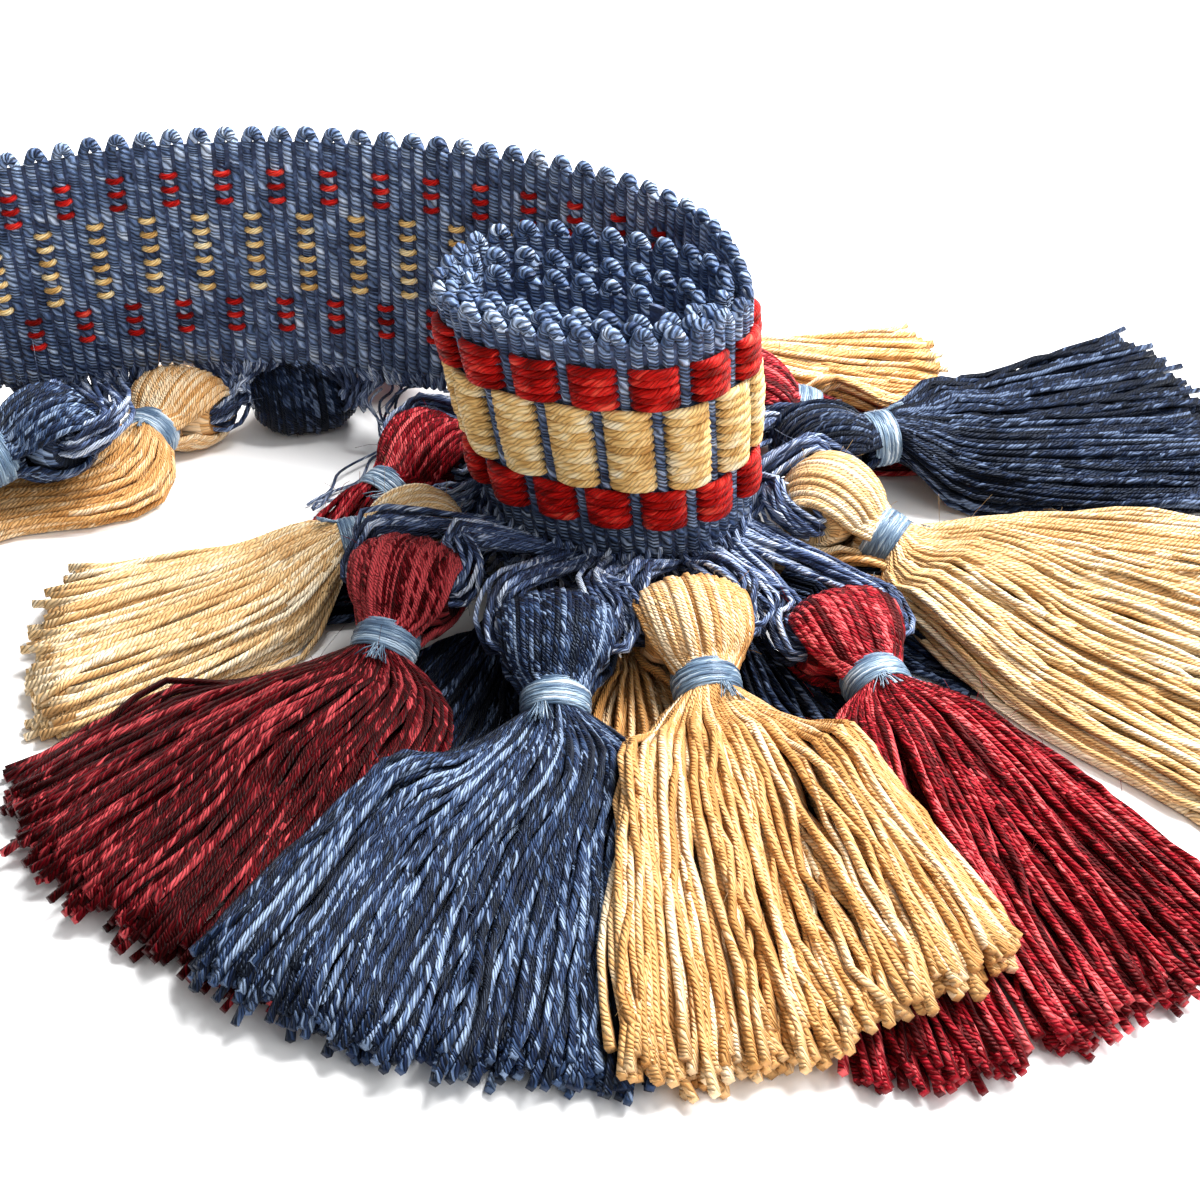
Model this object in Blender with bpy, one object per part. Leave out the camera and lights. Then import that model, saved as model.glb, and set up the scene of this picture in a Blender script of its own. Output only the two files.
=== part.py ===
"""A tassel fringe trim, loosely rolled and stood on a table.

A ribbed woven heading with picots along its upper edge is wound into a roll of nearly
three turns, and its outer end runs off free behind the roll. Yarn tassels hang from its lower edge
by bundles of yarn, each tassel a folded head, a bound neck and a skirt of cut strands that
fans out over the table.

Metres, +Z up. The table is z = 0 and the origin lies under the middle of the whole piece.
The tables below are in millimetres, measured from a point under the roll.
"""

import math

import bmesh
import bpy
import numpy as np

MM = 0.001
ROLL_PLACE = (0.02055, -0.01568)  # the point under the roll, seen from the origin

# Heading
HEADING_WIDTH = 35.0
HEADING_THICKNESS = 1.1
RIB_PITCH = 1.92
RIB_HEIGHT = 0.17
FLOAT_HEIGHT = 0.4
HEADING_FOOT = 12.0  # height of the roll's lower edge

# Heights up the heading, as shares of its width, with the coloured floats that each row lifts
FACE_ROWS = (
    (0.0, None),
    (0.12, None),
    (0.22, "red"),
    (0.315, None),
    (0.5, "gold"),
    (0.685, None),
    (0.785, "red"),
    (0.88, None),
    (1.0, None),
)
# Lift of a float at each half rib of a repeat of four ribs
FLOAT_LIFT = {
    "red": (0.0, 0.0, 0.2, 0.8, 1.0, 1.0, 1.0, 0.8),
    "gold": (1.0, 1.0, 1.0, 0.8, 0.2, 0.0, 0.2, 0.8),
}
# Height of the picot edge at each half rib, as a share of the heading's width
PICOT_TOP = (0.955, 0.988, 1.0, 0.988)

# Free end of the heading, from its cut end to the roll. Upper edge, how far the upper edge
# leans past the lower one, and the height of the lower edge
FREE_END = (
    # x, y, lean x, lean y, foot
    (-100.0, 39.5, -3.0, -1.0, 9.5),
    (-86.0, 44.0, -2.0, -0.5, 10.0),
    (-68.0, 48.5, -1.0, 1.5, 11.5),
    (-48.0, 50.5, -0.5, 3.5, 12.0),
    (-28.4, 49.0, 0.0, 5.5, 12.0),
    (-9.0, 42.0, 1.0, 4.0, 12.0),
    (5.4, 31.5, 0.8, 1.0, 12.0),
    (14.5, 19.0, 0.0, -2.0, 12.0),
)
# Reach of the roll's upper edge at the start of each turn, along axes turned by ROLL_TURN
ROLL_REACH = (
    # right, front, left, back
    (17.4, -13.0, -22.4, 24.5),
    (15.1, -10.7, -20.1, 13.4),
    (12.8, -8.4, -17.8, 5.4),
    (10.5, -6.1, -15.5, 0.4),
)
ROLL_TURN = math.radians(-20.0)
ROLL_TURNS = 2.93
ROLL_SQUARENESS = 0.76  # 1 is an ellipse, less is squarer
ROLL_LEAN = (-1.5, -6.0)  # at the roll's right side
ROLL_TAPER = 0.11  # how much narrower the lower edge is
ROLL_RIGHT = 17.0
ROWS_PER_TURN = 14
FINE_LENGTH = 226.0  # the free end and the outer turn, whose ribs show

# Tassels, numbered along the heading from its free end. Each row holds where the tassel hangs
# along the heading, how far apart its two legs hang, where its head lies, the directions in
# degrees that its head and its skirt point to, and the skirt's spread, length, slant, loft and
# locks across. The slant is the share by which its left side is longer than its middle, and a
# low loft is a skirt pressed flat by what lies on it
TASSELS = (
    # name, yarn, hung at, legs, head x, y, z, head to, skirt to, spread, length, slant, loft, locks
    ("01", "blue", 19.5, 7.0, -77.5, 25.0, 12.5, -143, -153, 46, 50, 0.0, 1.0, 6),
    ("02", "gold", 37.0, 16.5, -63.0, 45.0, 5.5, -112, -160, 34, 50, 0.0, 0.56, 6),
    ("03", "blue", 56.5, 16.5, -45.0, 49.0, 5.5, 100, 122, 30, 52, 0.0, 1.0, 4),
    ("04", "red", 74.0, 7.0, -32.0, 61.5, 10.5, 102, 106, 26, 52, 0.0, 1.0, 4),
    ("05", "blue", 90.0, 7.0, -13.0, 57.0, 9.5, 88, 90, 28, 52, 0.0, 1.0, 4),
    ("06", "gold", 106.0, 6.0, 5.5, 54.0, 6.0, 17, 5, 34, 36, 0.08, 1.0, 6),
    ("07", "red", 120.0, 6.0, 21.5, 42.0, 9.5, -2, -6, 10, 20, 0.0, 0.45, 4),
    ("08", "blue", 131.5, 6.0, 31.4, 26.8, 8.5, 18, 19, 50, 52, 0.14, 1.0, 6),
    ("09", "gold", 142.0, 6.0, 31.0, 9.1, 10.0, -26, -24, 64, 57, -0.04, 1.0, 6),
    ("10", "red", 154.0, 6.0, 31.0, -19.4, 7.0, -69, -71, 46, 57, -0.08, 1.0, 6),
    ("11", "gold", 164.0, 6.0, 11.5, -21.1, 10.0, -79, -78, 39, 57, -0.08, 1.0, 6),
    ("12", "blue", 176.0, 6.0, -5.4, -25.2, 10.5, -90, -106, 45, 55, 0.03, 1.0, 6),
    ("13", "red", 186.0, 6.0, -24.4, -13.4, 11.0, -109, -125, 62, 51, 0.15, 1.0, 6),
    ("14", "gold", 206.0, 6.0, -24.2, 3.4, 8.0, -163, -161, 44, 41, 0.12, 1.0, 6),
    ("15", "red", 216.0, 6.0, -24.0, 24.5, 8.5, -132, -132, 12, 14, 0.0, 0.45, 4),
)
LAID_ORDER = ("15", "07", "03", "04", "05", "06", "02", "01", "14", "13", "12", "08", "09", "10", "11")

# Tassel
HEAD_HALF_LENGTH = 6.0
HEAD_REACH = 5.9
HEAD_HALF_HEIGHT = 5.3
EYE_RADIUS = 1.8
HEAD_STEPS = 8  # faces round the head, of which SKIRT_ROWS open into the neck
NECK_HALF_WIDTH = 3.9
NECK_HALF_HEIGHT = 3.3
NECK_START = 6.6
NECK_END = 11.6
LEAST_NECK_HEIGHT = 5.1
MOST_DIP = 0.55
NECK_ROUNDNESS = 0.92
SKIRT_ROWS = 2
# Sections of a lock: share of its length, and its height
LOCK_SECTIONS = ((0.28, 4.0), (0.65, 2.7), (1.0, 2.0))
SKIRT_BULGE = 0.35
LENGTH_SCATTER = 0.035
GAP = 0.3
LAID_GAP = 0.5  # between a lock and what it lies on

# Binding and hanger
TIE_WIDTH = 4.3
TIE_INNER = 1.18  # times the neck
TIE_OUTER = 1.38
# Half section of the binding: times the neck, and place along the binding's width
TIE_SECTION = ((TIE_INNER, -0.5), (TIE_OUTER, -0.4), (TIE_OUTER, 0.4), (TIE_INNER, 0.5))
TIE_SIDES = 10
HANGER_RADIUS = 1.25
LEG_OFFSET = 1.6  # from the head's end to a leg's middle

SIDES = (-1.0, -0.5, 0.0, 0.5, 1.0)

# Grid of heights for laying skirts over each other
PILE_CELL = 1.0
PILE_HALF = 160

YARNS = {
    "blue": (0.085, 0.13, 0.27),
    "gold": (0.58, 0.38, 0.13),
    "red": (0.27, 0.012, 0.03),
    "satin": (0.20, 0.32, 0.46),
    "weave": (0.07, 0.12, 0.24),
}


def clear_scene():
    """Removes what a new scene holds."""
    for ob in list(bpy.data.objects):
        bpy.data.objects.remove(ob, do_unlink=True)


def new_material(name, colour, roughness):
    """One Principled material."""
    material = bpy.data.materials.new(name)
    material.use_nodes = True
    shader = material.node_tree.nodes["Principled BSDF"]
    shader.inputs["Base Color"].default_value = (*colour, 1.0)
    shader.inputs["Roughness"].default_value = roughness
    shader.inputs["Metallic"].default_value = 0.0
    return material


def add_object(name, data, collection, material):
    """Puts a mesh or a curve in the collection, in metres and at the roll's place."""
    data.materials.append(material)
    ob = bpy.data.objects.new(name, data)
    ob.location = (*ROLL_PLACE, 0.0)
    collection.objects.link(ob)
    return ob


def mesh_from(bm, name):
    """A mesh in metres from a bmesh in millimetres, with its faces turned outward."""
    bmesh.ops.recalc_face_normals(bm, faces=bm.faces)
    bmesh.ops.scale(bm, vec=(MM, MM, MM), verts=bm.verts)
    mesh = bpy.data.meshes.new(name)
    bm.to_mesh(mesh)
    bm.free()
    return mesh


def smooth_rows(rows, per_span):
    """Rows on a smooth curve through the given rows, per_span for each pair."""
    p = np.array(rows, dtype=float)
    p = np.vstack([2 * p[0] - p[1], p, 2 * p[-1] - p[-2]])
    t = (np.arange(per_span) / per_span)[:, None]
    spans = []
    for a, b, c, d in zip(p[:-3], p[1:-2], p[2:-1], p[3:]):
        linear = c - a
        square = 2 * a - 5 * b + 4 * c - d
        cube = 3 * b - a - 3 * c + d
        spans.append(0.5 * (2 * b + linear * t + square * t**2 + cube * t**3))
    spans.append(p[-2:-1])
    return np.vstack(spans)


def signed_power(value, power):
    return np.sign(value) * np.abs(value) ** power


def roll_upper_edge(turn):
    """Plan places of the roll's upper edge, wound clockwise from its right side."""
    numbers = np.arange(len(ROLL_REACH))
    reach = [np.polyval(np.polyfit(numbers, column, 2), turn) for column in zip(*ROLL_REACH)]
    right, front, left, back = reach
    angle = -2 * np.pi * turn
    u = (right + left) / 2 + (right - left) / 2 * signed_power(np.cos(angle), ROLL_SQUARENESS)
    v = (back + front) / 2 + (back - front) / 2 * signed_power(np.sin(angle), ROLL_SQUARENESS)
    c, s = math.cos(ROLL_TURN), math.sin(ROLL_TURN)
    return np.stack([c * u - s * v, s * u + c * v], axis=-1)


def left_of(along):
    """Unit vectors in plan to the left of the given ones."""
    along = along / np.linalg.norm(along, axis=-1, keepdims=True)
    return np.stack([-along[..., 1], along[..., 0]], axis=-1)


def heading_rows():
    """Rows of x, y, lean x, lean y and foot from the free end to the roll's inner end."""
    turns = np.linspace(0.0, ROLL_TURNS, int(ROWS_PER_TURN * ROLL_TURNS))
    edge = roll_upper_edge(turns)
    lean = np.tile(ROLL_LEAN, (len(edge), 1))
    lean[:, 0] += ROLL_TAPER * (edge[:, 0] - ROLL_RIGHT)
    foot = np.full((len(edge), 1), HEADING_FOOT)
    return smooth_rows(np.vstack([FREE_END, np.hstack([edge, lean, foot])]), 12)


class HeadingPath:
    """The heading's middle surface, read by the distance along its upper edge."""

    def __init__(self):
        self.rows = heading_rows()
        steps = np.linalg.norm(np.diff(self.rows[:, :2], axis=0), axis=1)
        self.distance = np.concatenate([[0.0], np.cumsum(steps)])
        self.outward = left_of(np.gradient(self.rows[:, :2], axis=0))
        self.length = self.distance[-1]

    def at(self, distance):
        """Lower point, upper point and outward direction at distances along the heading."""
        x, y, lean_x, lean_y, foot = (
            np.interp(distance, self.distance, self.rows[:, i]) for i in range(5)
        )
        rise = np.sqrt(HEADING_WIDTH**2 - lean_x**2 - lean_y**2)
        outward = np.stack(
            [np.interp(distance, self.distance, self.outward[:, i]) for i in range(2)], axis=-1
        )
        outward /= np.linalg.norm(outward, axis=-1, keepdims=True)
        low = np.stack([x - lean_x, y - lean_y, foot], axis=-1)
        high = np.stack([x, y, foot + rise], axis=-1)
        return low, high, np.concatenate([outward, np.zeros_like(x)[..., None]], axis=-1)


def heading_section(low, high, outward, half_rib, fine):
    """The closed section of the heading at one half rib: its face going up, then its back."""
    ridge = half_rib % 2 == 1 if fine else half_rib % 4 == 2
    half = HEADING_THICKNESS / 2 + (RIB_HEIGHT if ridge else 0.0)
    top = PICOT_TOP[half_rib % 4]
    points = []
    for share, yarn in FACE_ROWS:
        lift = FLOAT_HEIGHT * FLOAT_LIFT[yarn][half_rib % 8] if yarn and fine else 0.0
        share = min(share, top)
        points.append(low + (high - low) * share + outward * (half + lift))
    points.append(low + (high - low) * top - outward * half)
    points.append(low - outward * half)
    return points


def make_heading(path, collection, material):
    """The woven heading as one solid, lofted from section to section along the whole path."""
    half_ribs = int(path.length / (RIB_PITCH / 2))
    fine_count = int(FINE_LENGTH / (RIB_PITCH / 2)) // 4 * 4
    stations = list(range(0, fine_count)) + list(range(fine_count, half_ribs, 2))
    low, high, outward = path.at(np.array(stations) * RIB_PITCH / 2)
    bm = bmesh.new()
    sections = []
    for i, half_rib in enumerate(stations):
        points = heading_section(low[i], high[i], outward[i], half_rib, half_rib < fine_count)
        sections.append([bm.verts.new(point) for point in points])
    for section, following in zip(sections[:-1], sections[1:]):
        for i in range(len(section)):
            j = (i + 1) % len(section)
            bm.faces.new((section[i], section[j], following[j], following[i]))
    bm.faces.new(sections[0])
    bm.faces.new(sections[-1])
    return add_object("heading", mesh_from(bm, "heading"), collection, material)


class Pile:
    """Heights of the yarn already laid on the table."""

    def __init__(self):
        self.top = np.zeros((2 * PILE_HALF, 2 * PILE_HALF))

    def cells(self, points):
        return np.round(np.array(points)[..., :2] / PILE_CELL).astype(int) + PILE_HALF

    def under(self, points):
        cells = self.cells(points)
        return self.top[cells[..., 0], cells[..., 1]].max(axis=-1)

    def lay(self, points):
        points = np.array(points).reshape(-1, 3)
        for (i, j), z in zip(self.cells(points), points[:, 2]):
            patch = self.top[i - 1 : i + 2, j - 1 : j + 2]
            np.maximum(patch, z, out=patch)


class TasselFrame:
    """A tassel's own directions and the places along its neck."""

    def __init__(self, row, pile):
        self.name, self.yarn, self.hung_at, self.legs_apart, x, y, z = row[:7]
        head_turn, skirt_turn, spread, self.length, self.slant, self.loft, self.columns = row[7:]
        self.head = np.array([x, y, z])
        turn = math.radians(head_turn)
        along = np.array([math.cos(turn), math.sin(turn)])
        self.side = np.array([-along[1], along[0], 0.0])
        under_neck = [
            self.head + np.append(along, 0.0) * forward + self.side * side
            for forward in np.arange(HEAD_REACH, NECK_END + 2.0, 1.0)
            for side in (-5.0, -2.5, 0.0, 2.5, 5.0)
        ]
        clear = float(pile.under(under_neck))
        neck_height = max(LEAST_NECK_HEIGHT, clear + GAP + NECK_HALF_HEIGHT * TIE_OUTER)
        neck_drop = min(max(z - neck_height, 0.0), MOST_DIP * NECK_END)
        forward = np.array([*along, -neck_drop / NECK_END])
        self.forward = forward / np.linalg.norm(forward)
        self.up = np.cross(self.forward, self.side)
        self.skirt_turn = math.radians(skirt_turn)
        self.spread = math.radians(spread)

    def place(self, side, forward, up):
        return self.head + self.side * side + self.forward * forward + self.up * up


def head_profile(columns):
    """Half section of the folded head from one end of its eye to the other: place along the
    eye and share of the head's full radius."""
    bulge = []
    for i in range(columns + 1):
        share = 2 * i / columns - 1
        bulge.append((share * HEAD_HALF_LENGTH, 1 - 0.45 * abs(share) ** 2.6))
    mouth = HEAD_HALF_LENGTH - 0.5
    eye = EYE_RADIUS / HEAD_HALF_HEIGHT
    return [(-mouth, eye)] + bulge + [(mouth, eye)]


def make_head(bm, frame):
    """The folded head: a short bulging roll of yarn round its eye. Returns the faces that
    look along the neck."""
    rings = []
    for step in range(HEAD_STEPS):
        angle = 2 * math.pi * (step - SKIRT_ROWS / 2) / HEAD_STEPS
        ring = []
        for side, share in head_profile(frame.columns):
            forward = share * HEAD_REACH * math.cos(angle)
            up = share * HEAD_HALF_HEIGHT * math.sin(angle)
            ring.append(bm.verts.new(frame.place(side, forward, up)))
        rings.append(ring)
    count = len(rings[0])
    mouth = []
    for step in range(HEAD_STEPS):
        ring, following = rings[step], rings[(step + 1) % HEAD_STEPS]
        for i in range(count):
            j = (i + 1) % count
            face = bm.faces.new((ring[i], ring[j], following[j], following[i]))
            if step < SKIRT_ROWS and 1 <= i <= frame.columns:
                mouth.append(face)
    return mouth


def draw_out(bm, faces, frame, forward, half_width, half_height):
    """Extrudes the faces, two rows of them, as one region to an oval section of the neck."""
    corners = [np.array(vert.co) - frame.head for face in faces for vert in face.verts]
    widest = max(abs(corner @ frame.side) for corner in corners)
    result = bmesh.ops.extrude_face_region(bm, geom=faces)
    bmesh.ops.delete(bm, geom=faces, context="FACES")
    new_faces = [item for item in result["geom"] if isinstance(item, bmesh.types.BMFace)]
    moved = {vert for face in new_faces for vert in face.verts}
    for vert in moved:
        offset = np.array(vert.co) - frame.head
        a = (offset @ frame.side) / widest
        row = np.sign(round(offset @ frame.up, 3))
        up = row * math.sqrt(1 - NECK_ROUNDNESS * a * a) * half_height
        vert.co = frame.place(a * half_width, forward, up)
    return new_faces


def lock_route(frame, root, column, row, length):
    """Plan places of one lock at its sections, from its root."""
    across = 2 * (column + 0.5) / frame.columns - 1
    across += (row - (SKIRT_ROWS - 1) / 2) / frame.columns
    places = []
    for share, height in ((0.04, 0.0),) + LOCK_SECTIONS:
        fan = frame.spread / 2 * across * (1 + SKIRT_BULGE * (1 - share))
        turn = frame.skirt_turn + fan
        reach = length * (1 + frame.slant * across) * share
        places.append((root[0] + math.cos(turn) * reach, root[1] + math.sin(turn) * reach, turn))
    return places


def footprint(start, end, start_half, end_half, start_top, end_top):
    """Rows of points spread over a lock between two of its sections, with their heights."""
    rows = []
    for t in np.linspace(0.0, 1.0, 9):
        x, y = (start[i] * (1 - t) + end[i] * t for i in range(2))
        turn = start[2] * (1 - t) + end[2] * t
        half = start_half * (1 - t) + end_half * t
        z = start_top * (1 - t) + end_top * t
        rows.append(
            [(x - math.sin(turn) * half * side, y + math.cos(turn) * half * side, z) for side in SIDES]
        )
    return np.array(rows)


def corner_signs(face, frame):
    """Which side, and whether at the top, each corner of a root face is, by its place."""
    places = [np.array(vert.co) for vert in face.verts]
    sides = [place @ frame.side for place in places]
    ups = [place @ frame.up for place in places]
    signs = {}
    for vert, side, up in zip(face.verts, sides, ups):
        side_sign = 1.0 if side > np.mean(sides) else -1.0
        column = [u for s, u in zip(sides, ups) if (s > np.mean(sides)) == (side > np.mean(sides))]
        signs[tuple(vert.co)] = (side_sign, 1.0 if up > np.mean(column) else -1.0)
    return signs


def face_rows(faces, frame):
    """The faces at the neck's end as a lower and an upper row, each from side to side."""
    offsets = {face: np.array(face.calc_center_median()) - frame.head for face in faces}
    middle = np.mean([offset @ frame.up for offset in offsets.values()])
    rows = []
    for upper in (False, True):
        row = [face for face in faces if (offsets[face] @ frame.up > middle) == upper]
        rows.append(sorted(row, key=lambda face: offsets[face] @ frame.side))
    return rows


def make_locks(bm, faces, frame, pile, random):
    """Draws each face at the neck's end out into a four-sided lock that comes to rest on the
    table, or on what lies there."""
    for row, row_faces in enumerate(face_rows(faces, frame)):
        roots = [np.array(face.calc_center_median()) for face in row_faces]
        even = [lock_route(frame, root, i, row, frame.length) for i, root in enumerate(roots)]
        laid = []
        for column, face in enumerate(row_faces):
            length = frame.length * (1 + random.uniform(-LENGTH_SCATTER, LENGTH_SCATTER))
            route = lock_route(frame, roots[column], column, row, length)
            laid.append(lock_sections(frame, route, lock_halves(even, column), face, pile))
        for face, sections in zip(row_faces, laid):
            draw_lock(bm, face, frame, sections)
        for sections in laid:
            for start, end in zip(sections[:-1], sections[1:]):
                tops = [section["foot"] + section["height"] for section in (start, end)]
                pile.lay(footprint(start["at"], end["at"], start["half"], end["half"], *tops))


def resting_feet(root_foot, routes, halves, pile):
    """Lowest foot heights at a lock's sections that keep it clear of what lies under it."""
    feet = [root_foot] + [0.0] * (len(routes) - 1)
    under = []
    for start, end, start_half, end_half in zip(routes, routes[1:], halves, halves[1:]):
        heights = pile.under(footprint(start, end, start_half, end_half, 0.0, 0.0))
        under.append(np.where(heights > 0, heights + LAID_GAP, 0.0))
    shares = np.linspace(0.0, 1.0, 9)
    for i in range(1, len(routes)):
        feet[i] = max(feet[i], under[i - 1][shares >= 0.75].max())
        if i < len(routes) - 1:
            feet[i] = max(feet[i], under[i][shares <= 0.25].max())
    for i, heights in enumerate(under):
        first = 4 if i == 0 else 2
        for share, height in zip(shares[first:], heights[first:]):
            lift = max(height - feet[i] * (1 - share) - feet[i + 1] * share, 0.0)
            if share < 0.5:
                feet[i] += lift / (1 - share)
            else:
                feet[i + 1] += lift / share
    return feet


def off_line(place, other):
    """How far a place is from the line that runs through another in its own direction."""
    x, y, turn = other
    return abs((place[1] - y) * math.cos(turn) - (place[0] - x) * math.sin(turn))


def lock_halves(routes, column):
    """Half widths that leave a slit between a lock and its neighbours."""
    neighbours = [routes[i] for i in (column - 1, column + 1) if 0 <= i < len(routes)]
    halves = []
    for i, place in enumerate(routes[column]):
        apart = min(off_line(place, other[i]) for other in neighbours)
        halves.append(apart / 2 * (1 - LENGTH_SCATTER) - 0.2)
    return halves


def lock_sections(frame, route, halves, face, pile):
    """Place, half width, foot and height of a lock at its root and its sections."""
    root_foot = min(v.co.z for v in face.verts)
    root_top = max(v.co.z for v in face.verts)
    feet = resting_feet(root_foot, route, halves, pile)
    heights = [root_top - root_foot] + [height * frame.loft for _, height in LOCK_SECTIONS]
    columns = zip(route, halves, feet, heights)
    return [dict(at=at, half=half, foot=foot, height=height) for at, half, foot, height in columns]


def draw_lock(bm, face, frame, sections):
    """Extrudes one root face through the lock's sections, past the first, which is a guide."""
    signs = corner_signs(face, frame)
    for section in sections[1:]:
        x, y, turn = section["at"]
        face = bmesh.ops.extrude_discrete_faces(bm, faces=[face])["faces"][0]
        moved = {}
        for vert in face.verts:
            side, up = signs[tuple(vert.co)]
            half = section["half"] * side
            z = section["foot"] + (section["height"] if up > 0 else 0.0)
            vert.co = (x - math.sin(turn) * half, y + math.cos(turn) * half, z)
            moved[tuple(vert.co)] = (side, up)
        signs = moved


def make_tassel(row, pile, collection, material, random):
    """One tassel: folded head with its eye, neck, and skirt of locks."""
    frame = TasselFrame(row, pile)
    bm = bmesh.new()
    faces = make_head(bm, frame)
    for forward in (NECK_START, NECK_END):
        faces = draw_out(bm, faces, frame, forward, NECK_HALF_WIDTH, NECK_HALF_HEIGHT)
    make_locks(bm, faces, frame, pile, random)
    name = "tassel_" + frame.name
    add_object(name, mesh_from(bm, name), collection, material)
    return frame


def make_tie(frame, collection, material):
    """The binding: a flat ring of thread round the neck."""
    middle = (NECK_START + NECK_END) / 2
    bm = bmesh.new()
    sections = []
    for step in range(TIE_SIDES):
        angle = 2 * math.pi * (step + 0.5) / TIE_SIDES
        ring = []
        for scale, along in TIE_SECTION:
            side = NECK_HALF_WIDTH * scale * math.cos(angle)
            up = NECK_HALF_HEIGHT * scale * math.sin(angle)
            ring.append(bm.verts.new(frame.place(side, middle + along * TIE_WIDTH, up)))
        sections.append(ring)
    for step in range(TIE_SIDES):
        ring, following = sections[step], sections[(step + 1) % TIE_SIDES]
        for i in range(4):
            j = (i + 1) % 4
            bm.faces.new((ring[i], ring[j], following[j], following[i]))
    name = "tie_" + frame.name
    add_object(name, mesh_from(bm, name), collection, material)


def hanger_route(frame, path):
    """Points along the bundle from the heading, through the head's eye and back."""
    ends = []
    for sign in (-1, 1):
        low = path.at(np.array([frame.hung_at + sign * frame.legs_apart / 2]))[0]
        ends.append(low[0] - np.array([0.0, 0.0, 2 * GAP]))
    reach = HEAD_HALF_LENGTH + LEG_OFFSET
    mouths = [frame.place(sign * reach, 0.0, 0.0) for sign in (-1, 1)]
    straight = math.dist(ends[0][:2], mouths[0][:2]) + math.dist(ends[1][:2], mouths[1][:2])
    crossed = math.dist(ends[0][:2], mouths[1][:2]) + math.dist(ends[1][:2], mouths[0][:2])
    if crossed < straight:
        ends.reverse()
    legs = []
    for end, sign in zip(ends, (-1, 1)):
        below = end - np.array([0.0, 0.0, 2.0])
        back = (frame.head - end) @ frame.forward
        corner = frame.place(sign * (reach - 0.3), -min(max(back, 0.0), HEAD_REACH - 1.7), 0.6)
        behind = frame.place(sign * (reach - 2.4), -HEAD_REACH - 1.7, 1.2)
        if back < HEAD_REACH + 1.7:
            behind = (below + corner) / 2
        mouth = frame.place(sign * reach, 0.2, 0.0)
        legs.append([end, below, behind, corner, mouth])
    return legs[0] + legs[1][::-1]


def make_hanger(frame, path, collection, material):
    """The bundle of yarn that carries the tassel, a tube along its route."""
    curve = bpy.data.curves.new("hanger_" + frame.name, "CURVE")
    curve.dimensions = "3D"
    curve.bevel_depth = HANGER_RADIUS * MM
    curve.bevel_resolution = 1
    curve.use_fill_caps = True
    route = hanger_route(frame, path)
    spline = curve.splines.new("POLY")
    spline.points.add(len(route) - 1)
    for point, place in zip(spline.points, route):
        point.co = (*(place * MM), 1.0)
    add_object("hanger_" + frame.name, curve, collection, material)


def main():
    clear_scene()
    collection = bpy.data.collections.new("tassel_fringe_trim")
    bpy.context.scene.collection.children.link(collection)
    materials = {name: new_material(name, colour, 0.8) for name, colour in YARNS.items()}
    path = HeadingPath()
    make_heading(path, collection, materials["weave"])
    pile = Pile()
    rows = {row[0]: row for row in TASSELS}
    for name in LAID_ORDER:
        random = np.random.default_rng(int(name))
        frame = make_tassel(rows[name], pile, collection, materials[rows[name][1]], random)
        make_tie(frame, collection, materials["satin"])
        make_hanger(frame, path, collection, materials["blue"])


main()
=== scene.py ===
"""Looks of the tassel fringe trim: every yarn of the heading, tassels, bindings and hangers.

Metres, +Z up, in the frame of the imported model. The tables are in millimetres from a point
under the roll, and repeat the heading's path and the tassels' places.
"""

import math

import bpy
import numpy as np
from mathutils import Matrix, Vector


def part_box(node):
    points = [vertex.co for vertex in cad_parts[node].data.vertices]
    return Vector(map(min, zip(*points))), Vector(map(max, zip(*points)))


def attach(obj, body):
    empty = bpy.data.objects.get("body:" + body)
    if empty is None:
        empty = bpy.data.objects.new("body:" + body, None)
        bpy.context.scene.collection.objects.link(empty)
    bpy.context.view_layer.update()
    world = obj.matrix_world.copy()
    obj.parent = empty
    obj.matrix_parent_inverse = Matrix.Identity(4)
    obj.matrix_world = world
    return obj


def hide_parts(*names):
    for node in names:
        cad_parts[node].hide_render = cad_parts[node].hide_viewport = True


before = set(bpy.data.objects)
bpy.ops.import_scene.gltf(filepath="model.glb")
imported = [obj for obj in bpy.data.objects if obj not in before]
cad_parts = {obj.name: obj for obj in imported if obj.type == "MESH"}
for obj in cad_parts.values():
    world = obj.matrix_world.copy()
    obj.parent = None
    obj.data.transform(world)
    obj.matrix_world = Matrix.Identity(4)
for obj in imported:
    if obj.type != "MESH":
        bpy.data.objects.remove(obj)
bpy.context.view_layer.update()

MM = 0.001
ROLL_PLACE = (0.02055, -0.01568)

# Camera, lights and floor, with places and sizes in metres
VIEW_BACK = (0.0, -0.2625, 0.1705)
LENS = 69.48
SENSOR = 36.0
LIGHTS = (
    # name, place, size, power
    ("key", (0.34, 0.2, 0.6), 0.4, 18.0),
    ("fill", (0.5, -0.5, 0.5), 0.6, 3.5),
)
LIGHT_TARGET = (0.02, -0.02, 0.01)
WORLD_LIGHT = 0.42
FLOOR_REACH = 3.0
FLOOR_GREYS = (0.93, 0.96)

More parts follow.
